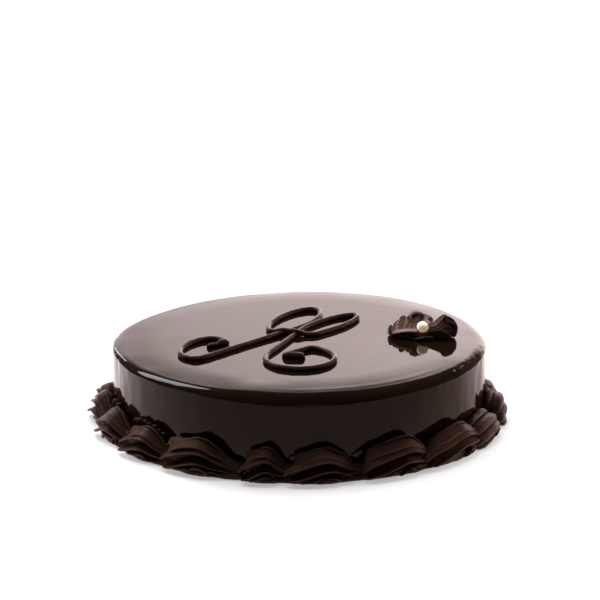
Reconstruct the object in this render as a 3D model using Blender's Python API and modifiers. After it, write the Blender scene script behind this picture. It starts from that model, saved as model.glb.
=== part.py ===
"""A round chocolate mousse cake: a glazed drum ringed with piped shells, and on its top
a piped scroll and a ruffled rosette that holds one sugar pearl.

Metres, +Z up. The origin is the centre of the base, and the cake's front is -Y.
"""

import math

import bmesh
import bpy
from mathutils import Vector

# Cake drum
CAKE_RADIUS = 0.120
CAKE_HEIGHT = 0.0513
RIM_ROUND = 0.006
RIM_ROUND_STEPS = 5
CROWN_WIDTH = 0.016  # the ring inside the edge where the glazed top starts to fall away
CROWN_DROP = 0.0012
FOOT_BEVEL = 0.0015
DRUM_SIDES = 80
TOP_RISE = 0.0017  # how much higher the right edge of the top stands than the left

# Gap left between pieces that touch
TOUCH_GAP = 0.0003

# Shell border. Turns are degrees round the cake from the front, towards the right, and a
# shell runs from its head to its tail that way. The front's heads are as uneven as piped.
FRONT_HEAD_TURNS = (-88.0, -71.0, -54.0, -36.5, -14.0, -1.4, 18.0, 36.6, 56.8, 77.0)
SHELL_COUNT = 20
SHELL_SPACING = 0.8  # degrees from a tail to the next head
LONGEST_SHELL = 19.5  # degrees
SHELL_UNEVENNESS = 0.04  # of a shell's height
SHELL_TRACK = 0.129  # radius at which a shell's length is measured
SHELL_LENGTH = 0.042  # the standard shell, from the flat of its head to its tail
SHELL_CREST = 0.027  # along it from the head
# Lips of the piped ribs, each (out from the wall, up), from the top edge by the wall,
# over the outside and under, back to the wall
HEAD_LIPS = (
    (0.0044, 0.0175),
    (0.0124, 0.0102),
    (0.0152, 0.0058),
    (0.0176, 0.0012),
    (0.0128, 0.0000),
    (0.0060, 0.0000),
    (0.0006, 0.0040),
    (0.0008, 0.0115),
)
CREST_LIPS = (
    (0.0058, 0.0214),
    (0.0100, 0.0178),
    (0.0115, 0.0148),
    (0.0136, 0.0092),
    (0.0125, 0.0040),
    (0.0085, 0.0000),
    (0.0008, 0.0030),
    (0.0006, 0.0150),
)
TAIL_TIP = (0.0052, 0.0030)
HEAD_HEART = (0.0080, 0.0070)
CREST_HEART = (0.0062, 0.0098)
LIP_FINGERS = (0.0, 0.0004, 0.0034, 0.0026, 0.0010, 0.0, 0.0, 0.0)  # out past the head
GROOVE_DEPTHS = (0.05, 0.14, 0.46, 0.34, 0.12, 0.08, 0.08, 0.12)  # shares of the way in
HEAD_STATIONS = (0.0, 0.25, 0.5, 0.75, 1.0)
TAIL_STATIONS = (0.36, 0.66, 0.90)
TAIL_FALL = 1.25  # above 1 the back of the crest is rounder
HEAD_DOME = 0.0026
HEAD_DOME_SHARE = 0.55

# Piped scroll: one strand through four arcs, in the plane of the cake's top.
# Each arc is (centre, half length, half width, lean of its length, first and last angle).
STRAND_WIDTH = 0.0035
SCROLL_ARCS = {
    "left_curl": ((-0.0600, -0.0300), 0.0220, 0.0135, 71.0, -35.0, 208.0),
    "left_loop": ((-0.0030, 0.0320), 0.0290, 0.0123, 63.0, -115.0, 180.0),
    "right_loop": ((0.0190, 0.0205), 0.0285, 0.0090, 50.0, -150.0, 140.0),
    "right_curl": ((0.0005, -0.0520), 0.0225, 0.0215, 90.0, 70.0, 338.0),
}
ARC_STEP = 34.0  # degrees between the points that an arc gives the strand
STEM_SHARES = (0.3, 0.7)  # points on the straight stretch between two arcs
LONGEST_BRIDGE = 0.030  # arcs further apart than this have a straight stretch between them
STRAND_STEP = 0.0055
STRAND_OVERLAP = 2  # points shared by two strokes where they meet
STRAND_TAPER = 0.8
STROKE_LIFTS = (0.0, 0.0006, 0.0002)  # the middle stroke crosses over the other two
BLOB_LIFT = 0.0001
# Where the strand folds back into a lump at each end: (start, end, radius)
LEFT_BLOB = ((-0.0470, -0.0215), (-0.0590, -0.0260), 0.0024)
RIGHT_BLOB = ((-0.0092, -0.0475), (0.0040, -0.0495), 0.0024)
RIGHT_FOLD = (0.0005, -0.0365)

# Rosette, with its petals as (direction, half spread, reach, height)
ROSETTE_CENTRE = (0.0800, -0.0015)
ROSETTE_PETALS = (
    (2.0, 36.0, 0.0215, 0.0150),
    (52.0, 30.0, 0.0175, 0.0130),
    (98.0, 26.0, 0.0185, 0.0155),
    (138.0, 26.0, 0.0195, 0.0135),
    (180.0, 28.0, 0.0225, 0.0095),
    (226.0, 30.0, 0.0200, 0.0080),
    (274.0, 30.0, 0.0195, 0.0072),
    (318.0, 32.0, 0.0215, 0.0085),
)
ROSETTE_SIDES = 48
ROSETTE_CREASE = 0.66  # how far in a crease between petals reaches
ROSETTE_DISH = 0.0050
# Rings from the foot, over the rim and down into the dish, each as shares of the petal's
# reach, of the petal's height and of the dish's height
ROSETTE_RINGS = (
    (0.70, 0.0, 0.0),
    (0.97, 0.30, 0.0),
    (1.00, 0.60, 0.0),
    (0.88, 0.88, 0.0),
    (0.72, 1.0, 0.0),
    (0.60, 0.80, 0.10),
    (0.45, 0.25, 0.75),
    (0.24, 0.0, 1.0),
)

# Pearl, by its centre's height above the glaze
PEARL_DIAMETER = 0.0077
PEARL_PLACE = (0.0795, -0.0110)
PEARL_RISE = 0.0102

# Colours, as linear values
GLAZE_BROWN = (0.030, 0.016, 0.011)
GANACHE_BROWN = (0.040, 0.021, 0.015)
STRAND_BROWN = (0.024, 0.012, 0.008)
PEARL_CREAM = (0.78, 0.68, 0.50)


def blend(first, last, share):
    return first + (last - first) * share


def top_height(x):
    """Height of the glazed top, which leans a little."""
    return CAKE_HEIGHT + TOP_RISE * x / (2 * CAKE_RADIUS)


def food_material(name, colour, roughness):
    material = bpy.data.materials.new(name)
    material.use_nodes = True
    shader = material.node_tree.nodes["Principled BSDF"]
    shader.inputs["Base Color"].default_value = (*colour, 1.0)
    shader.inputs["Roughness"].default_value = roughness
    shader.inputs["Metallic"].default_value = 0.0
    material.diffuse_color = (*colour, 1.0)
    return material


def add_object(name, data, collection, material):
    piece = bpy.data.objects.new(name, data)
    collection.objects.link(piece)
    data.materials.append(material)
    return piece


def as_mesh(piece):
    """The piece's shape with its modifiers applied, as a mesh of its own."""
    bpy.context.view_layer.update()
    evaluated = piece.evaluated_get(bpy.context.evaluated_depsgraph_get())
    return bpy.data.meshes.new_from_object(evaluated)


def welded(mesh):
    work = bmesh.new()
    work.from_mesh(mesh)
    bmesh.ops.remove_doubles(work, verts=work.verts, dist=0.00001)
    work.to_mesh(mesh)
    work.free()
    return mesh


def loft(name, rings, first_pole, last_pole):
    """A closed skin over rings of equal count, drawn to a point at both ends."""
    work = bmesh.new()
    loops = [[work.verts.new(point) for point in ring] for ring in rings]
    count = len(rings[0])
    for near, far in zip(loops, loops[1:]):
        for i in range(count):
            j = (i + 1) % count
            work.faces.new((near[i], near[j], far[j], far[i]))
    for loop, pole in ((loops[0], first_pole), (loops[-1], last_pole)):
        tip = work.verts.new(pole)
        for i in range(count):
            work.faces.new((loop[i], loop[(i + 1) % count], tip))
    bmesh.ops.recalc_face_normals(work, faces=work.faces)
    mesh = bpy.data.meshes.new(name)
    work.to_mesh(mesh)
    work.free()
    mesh.shade_smooth()
    return mesh


# ---------------------------------------------------------------- cake drum


def drum_outline():
    """Half outline of the drum, from the middle of the top to the middle of the base."""
    edge = CAKE_RADIUS - RIM_ROUND
    shoulder = CAKE_HEIGHT - CROWN_DROP - RIM_ROUND
    points = [(0.0, CAKE_HEIGHT), (CAKE_RADIUS - CROWN_WIDTH, CAKE_HEIGHT)]
    points.append((CAKE_RADIUS - 0.6 * CROWN_WIDTH, CAKE_HEIGHT - 0.35 * CROWN_DROP))
    for i in range(RIM_ROUND_STEPS + 1):
        angle = math.pi / 2 * (1 - i / RIM_ROUND_STEPS)
        points.append((edge + RIM_ROUND * math.cos(angle), shoulder + RIM_ROUND * math.sin(angle)))
    points.append((CAKE_RADIUS, FOOT_BEVEL))
    points.append((CAKE_RADIUS - FOOT_BEVEL, 0.0))
    points.append((0.0, 0.0))
    return points


def make_cake_body(collection, material):
    mesh = bpy.data.meshes.new("cake_outline")
    points = drum_outline()
    edges = [(i, i + 1) for i in range(len(points) - 1)]
    mesh.from_pydata([(x, 0.0, z) for x, z in points], edges, [])
    outline = add_object("cake_outline", mesh, collection, material)
    screw = outline.modifiers.new("turn", "SCREW")
    screw.axis = "Z"
    screw.steps = DRUM_SIDES
    screw.render_steps = DRUM_SIDES
    screw.use_merge_vertices = True
    screw.merge_threshold = 0.0001
    turned = welded(as_mesh(outline))
    bpy.data.objects.remove(outline)
    for vertex in turned.vertices:
        lean = (top_height(vertex.co.x) - CAKE_HEIGHT) / CAKE_HEIGHT
        vertex.co.z += vertex.co.z * lean
    turned.shade_smooth()
    turned.set_sharp_from_angle(angle=math.radians(40))
    turned.name = "cake_body"
    turned.materials.clear()
    return add_object("cake_body", turned, collection, material)


# ------------------------------------------------------------- shell border


def shell_spans():
    """Where each shell's head and tail are, in degrees round the cake."""
    first, last = FRONT_HEAD_TURNS[0], FRONT_HEAD_TURNS[-1]
    behind = SHELL_COUNT - len(FRONT_HEAD_TURNS)
    step = (360.0 + first - last) / (behind + 1)
    heads = list(FRONT_HEAD_TURNS) + [last + step * (i + 1) for i in range(behind)]
    nexts = heads[1:] + [first + 360.0]
    return [(a, min(b - SHELL_SPACING, a + LONGEST_SHELL)) for a, b in zip(heads, nexts)]


def rib_ring(lips, heart, along):
    """One cross-section: every rib's lip, the groove under it and the swell of its band.

    lips are (out, up) pairs, and along holds the place of each lip along the shell.
    """
    points = []
    count = len(lips)
    for i, lip in enumerate(lips):
        following = lips[(i + 1) % count]
        depth = GROOVE_DEPTHS[i]
        groove = lip.lerp(heart, depth).lerp(following, 0.10)
        swell = groove.lerp(following, 0.55)
        swell = swell + (swell - heart).normalized() * (0.12 * (following - lip).length)
        swell.x = max(swell.x, TOUCH_GAP)
        swell.y = max(swell.y, 0.0)
        at = along[i]
        next_at = along[(i + 1) % count]
        points.append((at, lip.x, lip.y))
        points.append((max(at, next_at), groove.x, groove.y))
        points.append((blend(at, next_at, 0.5), swell.x, swell.y))
    return points


def shell_sections():
    """The standard shell's cross-sections from head to tail, as (along, out, up) points."""
    head = [Vector(pair) for pair in HEAD_LIPS]
    crest = [Vector(pair) for pair in CREST_LIPS]
    tail = Vector(TAIL_TIP)
    sections = []
    for station in HEAD_STATIONS:
        share = math.sin(math.pi / 2 * station)
        lips = [a.lerp(b, share) for a, b in zip(head, crest)]
        heart = Vector(HEAD_HEART).lerp(Vector(CREST_HEART), share)
        along = [blend(-finger, SHELL_CREST, station) for finger in LIP_FINGERS]
        sections.append(rib_ring(lips, heart, along))
    for station in TAIL_STATIONS:
        share = station**TAIL_FALL
        lips = [lip.lerp(tail, share) for lip in crest]
        heart = Vector(CREST_HEART).lerp(tail, share)
        along = [blend(SHELL_CREST, SHELL_LENGTH, station)] * len(lips)
        sections.append(rib_ring(lips, heart, along))
    return sections


def head_dome(section):
    """The ring between the head's edge and its pole, which rounds the head."""
    out, up = HEAD_HEART
    bulge = -HEAD_DOME * HEAD_DOME_SHARE
    share = HEAD_DOME_SHARE
    return [(bulge, blend(point[1], out, share), blend(point[2], up, share)) for point in section]


def on_border(point, head_turn, stretch, rise):
    """A standard shell's (along, out, up) taken round the cake's wall from the shell's head."""
    angle = math.radians(head_turn) + point[0] * stretch / SHELL_TRACK
    radius = CAKE_RADIUS + point[1]
    return Vector((radius * math.sin(angle), -radius * math.cos(angle), point[2] * rise))


def make_shells(collection, material):
    sections = shell_sections()
    rings = [head_dome(sections[0])] + sections
    poles = ((-HEAD_DOME, *HEAD_HEART), (SHELL_LENGTH, *TAIL_TIP))
    for i, (head, tail) in enumerate(shell_spans()):
        stretch = math.radians(tail - head) * SHELL_TRACK / SHELL_LENGTH
        rise = 1.0 + SHELL_UNEVENNESS * math.sin(2.4 * i)
        placed = [[on_border(point, head, stretch, rise) for point in ring] for ring in rings]
        ends = [on_border(pole, head, stretch, rise) for pole in poles]
        name = f"shell_{i + 1:02d}"
        add_object(name, loft(name, placed, *ends), collection, material)


# ------------------------------------------------------------- piped scroll


def arc_points(centre, half_length, half_width, lean, first, last):
    axis = Vector((math.cos(math.radians(lean)), math.sin(math.radians(lean))))
    across = Vector((-axis.y, axis.x))
    steps = max(1, round(abs(last - first) / ARC_STEP))
    points = []
    for i in range(steps + 1):
        angle = math.radians(blend(first, last, i / steps))
        offset = axis * (half_length * math.cos(angle)) + across * (half_width * math.sin(angle))
        points.append(Vector(centre) + offset)
    return points


def smooth_run(points, step):
    """Points a step apart on the smooth curve through the given ones."""
    ends = [points[0] * 2 - points[1], points[-1] * 2 - points[-2]]
    padded = [ends[0]] + points + [ends[1]]
    run = []
    for before, start, end, after in zip(padded, padded[1:], padded[2:], padded[3:]):
        leaving, arriving = (end - before) / 2, (after - start) / 2
        pieces = max(1, round((end - start).length / step))
        for i in range(pieces):
            t = i / pieces
            from_start = start * (2 * t**3 - 3 * t**2 + 1) + leaving * (t**3 - 2 * t**2 + t)
            to_end = end * (3 * t**2 - 2 * t**3) + arriving * (t**3 - t**2)
            run.append(from_start + to_end)
    return run + [points[-1]]


def scroll_run():
    """The strand's centre line in plan, and where on it the tips of its two loops are."""
    points = [Vector(LEFT_BLOB[0])]
    for arc in SCROLL_ARCS.values():
        following = arc_points(*arc)
        if (following[0] - points[-1]).length > LONGEST_BRIDGE:
            points += [points[-1].lerp(following[0], share) for share in STEM_SHARES]
        points += following
    points += [Vector(RIGHT_FOLD), Vector(RIGHT_BLOB[0])]
    run = smooth_run(points, STRAND_STEP)
    tips = []
    for name in ("left_loop", "right_loop"):
        centre, half_length, half_width, lean, _, _ = SCROLL_ARCS[name]
        tip = arc_points(centre, half_length, half_width, lean, 0.0, 0.0)[0]
        tips.append(min(range(len(run)), key=lambda i: (run[i] - tip).length))
    return run, tips


def make_tube(name, points, radius, tapers, lift, collection, material):
    """A closed round strand on the cake's top, with a share of its radius at each point."""
    curve = bpy.data.curves.new(name, "CURVE")
    curve.dimensions = "3D"
    curve.bevel_depth = radius
    curve.bevel_resolution = 2
    curve.use_fill_caps = True
    spline = curve.splines.new("POLY")
    spline.points.add(len(points) - 1)
    for target, point, taper in zip(spline.points, points, tapers):
        height = top_height(point.x) + TOUCH_GAP + radius + lift
        target.co = (point.x, point.y, height, 1.0)
        target.radius = taper
    piece = add_object(name, curve, collection, material)
    mesh = welded(as_mesh(piece))
    place = piece.matrix_world.copy()
    bpy.data.objects.remove(piece)
    tube = add_object(name, mesh, collection, material)
    tube.matrix_world = place
    return tube


def stroke_tapers(count, thin_start, thin_end):
    """Full width but for the ends that run inside the next stroke."""
    tapers = [1.0] * count
    for i in range(STRAND_OVERLAP):
        share = blend(STRAND_TAPER, 1.0, i / STRAND_OVERLAP)
        if thin_start:
            tapers[i] = share
        if thin_end:
            tapers[count - 1 - i] = share
    return tapers


def make_scroll(collection, joined, material):
    """One strand cut into three strokes at the loops' tips, and joined where it crosses itself."""
    run, (left_tip, right_tip) = scroll_run()
    width = STRAND_WIDTH / 2
    strokes = (
        (run[: left_tip + STRAND_OVERLAP], False, True),
        (run[left_tip - STRAND_OVERLAP : right_tip + STRAND_OVERLAP], True, True),
        (run[right_tip - STRAND_OVERLAP :], True, False),
    )
    pieces = []
    for i, (points, thin_start, thin_end) in enumerate(strokes):
        tapers = stroke_tapers(len(points), thin_start, thin_end)
        name = f"scroll_stroke_{i + 1}"
        lift = STROKE_LIFTS[i]
        pieces.append(make_tube(name, points, width, tapers, lift, joined, material))
    for i, (start, end, radius) in enumerate((LEFT_BLOB, RIGHT_BLOB)):
        points = [Vector(start).lerp(Vector(end), share) for share in (0.0, 0.12, 0.5, 0.88, 1.0)]
        tapers = (0.55, 1.0, 1.08, 0.95, 0.5)
        name = f"scroll_blob_{i + 1}"
        pieces.append(make_tube(name, points, radius, tapers, BLOB_LIFT, joined, material))
    scroll = pieces[0]
    joined.objects.unlink(scroll)
    collection.objects.link(scroll)
    scroll.name = "scroll"
    union = scroll.modifiers.new("join", "BOOLEAN")
    union.operation = "UNION"
    union.operand_type = "COLLECTION"
    union.collection = joined
    union.solver = "EXACT"
    mesh = as_mesh(scroll)
    mesh.name = "scroll"
    mesh.shade_smooth()
    for piece in pieces:
        bpy.data.objects.remove(piece)
    mesh.materials.clear()
    return add_object("scroll", mesh, collection, material)


# -------------------------------------------------------- rosette and pearl


def petal_edge(angle):
    """How far out and how high the rosette's rim is in one direction, in degrees."""
    reach, height = 0.0, 0.0
    for direction, spread, petal_reach, petal_height in ROSETTE_PETALS:
        off = abs((angle - direction + 180.0) % 360.0 - 180.0)
        if off < spread:
            share = blend(ROSETTE_CREASE, 1.0, math.cos(math.pi / 2 * off / spread) ** 0.5)
            reach = max(reach, petal_reach * share)
            height = max(height, petal_height * share)
    return reach, height


def make_rosette(collection, material):
    x, y = ROSETTE_CENTRE
    base = top_height(x) + TOUCH_GAP
    edges = [petal_edge(360.0 * i / ROSETTE_SIDES) for i in range(ROSETTE_SIDES)]
    rings = []
    for out, up, dish in ROSETTE_RINGS:
        ring = []
        for i, (reach, height) in enumerate(edges):
            angle = math.radians(360.0 * i / ROSETTE_SIDES)
            rise = ROSETTE_DISH * dish + up * height
            spot = (x + reach * out * math.cos(angle), y + reach * out * math.sin(angle))
            ring.append((*spot, base + rise))
        rings.append(ring)
    mesh = loft("rosette", rings, (x, y, base), (x, y, base + ROSETTE_DISH))
    return add_object("rosette", mesh, collection, material)


def make_pearl(collection, material):
    x, y = PEARL_PLACE
    work = bmesh.new()
    bmesh.ops.create_uvsphere(work, u_segments=20, v_segments=12, radius=PEARL_DIAMETER / 2)
    bmesh.ops.translate(work, verts=work.verts, vec=(x, y, top_height(x) + PEARL_RISE))
    mesh = bpy.data.meshes.new("pearl")
    work.to_mesh(mesh)
    work.free()
    mesh.shade_smooth()
    return add_object("pearl", mesh, collection, material)


def main():
    for leftover in list(bpy.data.objects):
        bpy.data.objects.remove(leftover)
    cake = bpy.data.collections.new("chocolate_mousse_cake")
    joined = bpy.data.collections.new("joined_pieces")
    for collection in (cake, joined):
        bpy.context.scene.collection.children.link(collection)
    ganache = food_material("piped_ganache", GANACHE_BROWN, 0.42)
    make_cake_body(cake, food_material("mirror_glaze", GLAZE_BROWN, 0.06))
    make_shells(cake, ganache)
    make_scroll(cake, joined, food_material("scroll_chocolate", STRAND_BROWN, 0.25))
    make_rosette(cake, food_material("rosette_chocolate", GANACHE_BROWN, 0.40))
    make_pearl(cake, food_material("sugar_pearl", PEARL_CREAM, 0.35))


main()
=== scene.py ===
"""The chocolate mousse cake as it looks: mirror glaze, piped shells, scroll, rosette and pearl.

Metres, +Z up, origin at the centre of the base, front at -Y.
"""

import math

import bmesh
import bpy
from mathutils import Matrix, Vector, noise

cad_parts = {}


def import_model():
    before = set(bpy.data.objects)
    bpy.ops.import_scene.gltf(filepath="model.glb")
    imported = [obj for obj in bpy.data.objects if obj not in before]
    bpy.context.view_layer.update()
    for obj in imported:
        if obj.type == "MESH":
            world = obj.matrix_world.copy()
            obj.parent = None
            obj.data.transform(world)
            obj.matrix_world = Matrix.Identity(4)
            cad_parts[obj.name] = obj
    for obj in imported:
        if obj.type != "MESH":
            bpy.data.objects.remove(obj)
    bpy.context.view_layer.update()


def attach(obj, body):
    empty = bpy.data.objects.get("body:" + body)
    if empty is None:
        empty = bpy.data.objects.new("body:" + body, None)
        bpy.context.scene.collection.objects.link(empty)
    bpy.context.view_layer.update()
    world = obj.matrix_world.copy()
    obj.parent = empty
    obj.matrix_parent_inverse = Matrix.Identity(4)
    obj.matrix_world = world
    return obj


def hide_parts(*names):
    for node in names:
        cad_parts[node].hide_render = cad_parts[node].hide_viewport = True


# ------------------------------------------------------------------ the cake's sizes

CAKE_RADIUS = 0.120
CAKE_HEIGHT = 0.0513
TOP_RISE = 0.0017
TOUCH_GAP = 0.0003  # the least distance that a shell keeps from the glaze

DRUM_STEPS = 540
TOP_RINGS, WALL_RINGS = 16, 36
FOOT_BEVEL = 0.0015
# The glaze leans more and more over the crown and then turns over the rim; its face still
# slopes a little where it meets the wall in an edge
CROWN_LENGTH, CROWN_LEAN, CROWN_STEPS = 0.024, 5.6, 20
RIM_LENGTH, RIM_LEAN, RIM_STEPS = 0.0108, 74.0, 30
# Unevenness of the glaze: how far it goes, the size of its lumps and its seed
RIM_WAVE = (0.0004, 0.030, 3.0)
BROAD_RUN = (0.00030, 0.016, 1.0)
MIDDLE_RUN = (0.00012, 0.006, 5.0)
FINE_RUN = (0.00003, 0.0022, 6.0)
SLUMP = (0.0005, 0.034, 8.0)
BROAD_DRIP = (0.0006, 0.013, 12.0)
FINE_DRIP = (0.0002, 0.0050, 14.0)
RIM_LUMP = (0.00016, 0.0045, 21.0)
# How much higher the wall begins at the left, at the right and at the far sides than in front
LEFT_LIFT, RIGHT_LIFT, SIDE_LIFT = 0.0032, 0.0020, 0.0008
DRIP_FADE = 0.008
# The fine raised line inside the rim, and the swelling at the left of the front
LINE_RADIUS, LINE_WIDTH, LINE_HEIGHT = 0.1085, 0.0017, 0.00012
SWELL_TURN, SWELL_WIDTH, SWELL_HEIGHT = -0.26, 0.12, 0.0006

# Degrees from the front at which each shell that the front shows begins
FRONT_HEAD_TURNS = (-88.0, -71.0, -54.0, -36.5, -14.0, -1.4, 18.0, 36.6, 56.8, 77.0)
SHELL_COUNT = 20
SHELL_SPACING = 0.8  # degrees
LONGEST_SHELL = 19.5  # degrees
SHELL_UNEVENNESS = 0.04
SHELL_WAVE, SHELL_GRAIN = (0.00026, 0.0075), (0.00010, 0.0022)  # how far, size of the lumps
SHELL_TRACK = 0.129  # radius of the circle that the shells lie on
SHELL_LENGTH = 0.042
HEART = (0.0070, 0.0085)  # out and up, in metres: the middle that a shell's lumps point away from
ROW_PACKING = 1.25  # above 1 the rows lie closer together at the head
MM = 0.001
MERGE_DISTANCE = 1e-6
# Bands that the star tip draws, each lapped over the one under it, from its finger at the head
# over the crest to the tail, in millimetres:
# (along, tucked edge's out and up, lip's out and up, thickness) at each station, and then the
# length and the bluntness of the finger's rounded end, and how far its lip turns with the hand
SHELL_BANDS = (
    (((1.0, 1.0, 10.5, 4.6, 14.6, 1.8), (6.5, 1.2, 13.0, 5.2, 17.4, 2.0),
      (19.0, 1.2, 16.5, 5.8, 21.2, 2.2), (30.0, 1.2, 12.0, 5.2, 16.4, 2.0),
      (44.0, 1.8, 3.0, 3.8, 3.6, 1.0)), 3.0, 2.0, 0.0),
    (((0.0, 4.2, 16.6, 12.0, 10.4, 2.4), (5.5, 4.0, 18.2, 12.6, 13.6, 2.4),
      (19.0, 3.8, 20.6, 11.8, 16.4, 2.3), (30.0, 3.4, 15.6, 9.6, 12.2, 2.0),
      (45.0, 3.2, 4.4, 5.4, 3.6, 1.2)), 1.0, 3.4, 1.0),
    (((-4.6, 11.6, 8.6, 15.2, 6.0, 1.3), (3.5, 9.8, 13.2, 15.7, 9.9, 1.4),
      (19.0, 9.0, 17.0, 14.0, 13.6, 1.4), (30.0, 7.4, 12.6, 11.2, 9.8, 1.3),
      (45.0, 4.2, 4.0, 6.6, 3.2, 1.0)), 3.4, 2.8, 0.0),
    (((-1.5, 11.6, 4.4, 16.6, 2.4, 1.8), (6.5, 9.2, 8.0, 17.6, 4.4, 1.9),
      (19.0, 8.0, 11.8, 15.8, 8.0, 1.8), (30.0, 6.4, 8.2, 12.0, 5.4, 1.7),
      (45.0, 4.8, 3.2, 7.6, 2.4, 1.0)), 3.6, 2.8, 0.0),
    (((4.0, 7.6, 2.6, 12.6, 1.0, 2.2), (10.0, 7.2, 5.0, 14.2, 2.0, 2.2),
      (19.0, 6.4, 6.8, 13.4, 3.8, 2.2), (30.0, 5.4, 5.0, 10.6, 2.0, 2.0),
      (45.0, 4.2, 2.4, 7.4, 1.2, 1.2)), 4.0, 3.0, 0.0),
    (((3.0, 4.0, 2.0, 10.0, 0.7, 2.6), (10.0, 3.4, 2.6, 12.0, 0.7, 2.6),
      (20.0, 3.0, 3.0, 12.6, 0.8, 2.6), (31.0, 3.0, 2.4, 10.4, 0.7, 2.4),
      (45.0, 2.6, 1.6, 7.4, 0.6, 1.4)), 4.0, 3.0, 0.0),
    (((-3.0, 1.4, 8.0, 6.4, 6.0, 3.0), (0.5, 1.2, 11.0, 7.0, 9.0, 3.6),
      (6.0, 1.2, 12.6, 7.0, 10.0, 3.6), (12.0, 1.4, 12.0, 6.0, 9.0, 3.0),
      (20.0, 1.4, 8.0, 5.0, 6.0, 2.0)), 3.0, 2.0, 0.0),
)
# Share of the way at which each shell is highest, where it isn't the usual one
USUAL_CREST = 0.48
CREST_SHARES = {6: 0.62, 7: 0.62, 8: 0.55}
# Shells that stay high to the end, and by how much their tails stay near the crest
HIGH_TAILS = {6: 0.62, 7: 0.80, 8: 0.4, 12: 0.4, 16: 0.5}
# Small folds at the foot, and strips behind the shells: shell, where along it, length, out,
# height, width, twist in degrees
FOOT_FOLDS = (
    (2, 15.0, 12.0, 12.5, 4.2, 1.7, 70.0),
    (3, 13.0, 15.0, 13.5, 5.0, 1.6, 110.0),
    (3, 22.0, 13.0, 11.0, 3.0, 1.8, 60.0),
    (5, 14.0, 14.0, 12.5, 3.6, 2.0, 50.0),
    (5, 24.0, 12.0, 11.0, 4.6, 1.8, 100.0),
    (6, 15.0, 12.0, 13.0, 3.6, 2.0, 90.0),
    (6, 22.0, 11.0, 12.0, 4.4, 1.5, 40.0),
    (7, 21.0, 9.0, 13.5, 4.6, 1.8, 60.0),
    (8, 20.0, 12.0, 12.0, 4.0, 1.8, 90.0),
    (0, -3.0, 9.0, 3.4, 17.0, 2.0, 120.0),
    (0, 2.0, 9.0, 2.4, 15.0, 1.8, -90.0),
    (1, -4.0, 9.0, 3.0, 16.5, 1.9, 100.0),
    (1, 1.0, 9.0, 2.4, 14.5, 1.6, -80.0),
    (1, 5.0, 8.0, 4.4, 16.5, 1.3, 60.0),
    (2, -4.0, 9.0, 2.6, 16.0, 1.9, 90.0),
    (2, 1.0, 7.0, 3.6, 17.0, 1.2, -120.0),
    (2, 4.0, 8.0, 2.4, 14.0, 1.5, 70.0),
    (3, -4.0, 8.0, 2.6, 14.5, 1.6, 110.0),
    (3, -0.5, 7.0, 3.8, 16.0, 1.1, -90.0),
    (3, 4.0, 7.0, 2.4, 12.5, 1.3, 90.0),
    (8, -4.0, 9.0, 2.2, 14.0, 1.6, 90.0),
)
# Small curls at the foot: shell, where along it, out, height of the middle, radius
FOOT_CURLS = (
    (4, 26.0, 14.2, 3.4, 2.6), (1, 30.0, 13.0, 3.2, 2.2), (7, 28.0, 14.5, 4.4, 2.4),
    # ragged curls between the shells at the left and the wall
    (1, 3.0, 3.6, 19.5, 2.6), (1, 9.0, 3.0, 19.0, 2.0), (2, -1.0, 3.2, 18.6, 2.6),
    (2, 5.0, 4.2, 20.8, 1.6), (2, 9.5, 3.0, 19.6, 2.7), (2, 16.0, 3.8, 20.6, 1.5),
    (2, 20.5, 3.0, 18.8, 2.7), (2, 26.0, 3.8, 18.4, 1.4), (2, 29.5, 3.0, 16.2, 2.2),
)
# The filled inside, which shows only deep between the bands: (along, middle's out and up,
# half width, half height), in millimetres
SHELL_CORE = (
    (-3.0, 4.0, 4.6, 3.4, 4.4), (7.0, 5.2, 6.8, 4.4, 6.2), (20.0, 5.0, 8.6, 4.4, 8.0),
    (33.0, 4.6, 6.0, 3.8, 5.6), (47.0, 4.0, 4.2, 3.4, 4.0),
)
# The fuller shells, whose bands are round lobes, in the same way
LOBE_BANDS = (
    (((-1.5, 0.6, 13.0, 4.6, 13.0, 5.0), (6.5, 0.6, 17.6, 5.0, 18.4, 6.4),
      (19.0, 0.8, 18.6, 5.2, 19.6, 6.6), (30.0, 0.8, 14.0, 5.0, 15.0, 5.6),
      (44.0, 1.8, 3.0, 3.8, 3.6, 2.0)), 5.0, 2.0, 0.0),
    (((-2.0, 5.8, 13.0, 10.4, 8.6, 6.4), (5.5, 6.2, 17.0, 12.4, 12.4, 8.6),
      (19.0, 6.0, 17.6, 12.6, 13.4, 8.2), (30.0, 5.0, 12.6, 10.6, 9.8, 6.4),
      (45.0, 3.2, 4.4, 5.4, 3.6, 2.0)), 6.0, 2.0, 0.0),
    (((-2.6, 9.6, 8.0, 13.4, 4.0, 5.0), (4.5, 10.2, 10.4, 15.0, 6.2, 6.4),
      (19.0, 9.6, 11.2, 15.2, 7.4, 6.4), (30.0, 8.0, 8.6, 12.2, 5.6, 5.0),
      (45.0, 4.2, 4.0, 6.6, 3.2, 1.8)), 6.0, 2.0, 0.0),
    (((-1.0, 8.0, 3.0, 13.4, 1.4, 3.0), (6.0, 8.4, 3.6, 14.8, 1.8, 3.6),
      (19.0, 7.4, 4.0, 13.6, 1.8, 3.6), (30.0, 6.4, 3.0, 11.4, 1.6, 3.0),
      (45.0, 4.8, 3.2, 7.6, 2.4, 1.4)), 5.0, 2.0, 0.0),
)
LOBED_SHELLS = (8, 9, 10, 13, 17)
SHELL_RISES = {8: 0.86, 9: 1.0, 10: 0.70, 19: 0.74}  # heights against the usual shell
SHELL_FULLNESS = {19: 1.8, 0: 1.8, 1: 1.7, 2: 1.35}  # how much thicker a shell's bands are
LATE_HEADS = {10: 3.0, 19: 4.5}  # degrees by which a shell starts late
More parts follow.
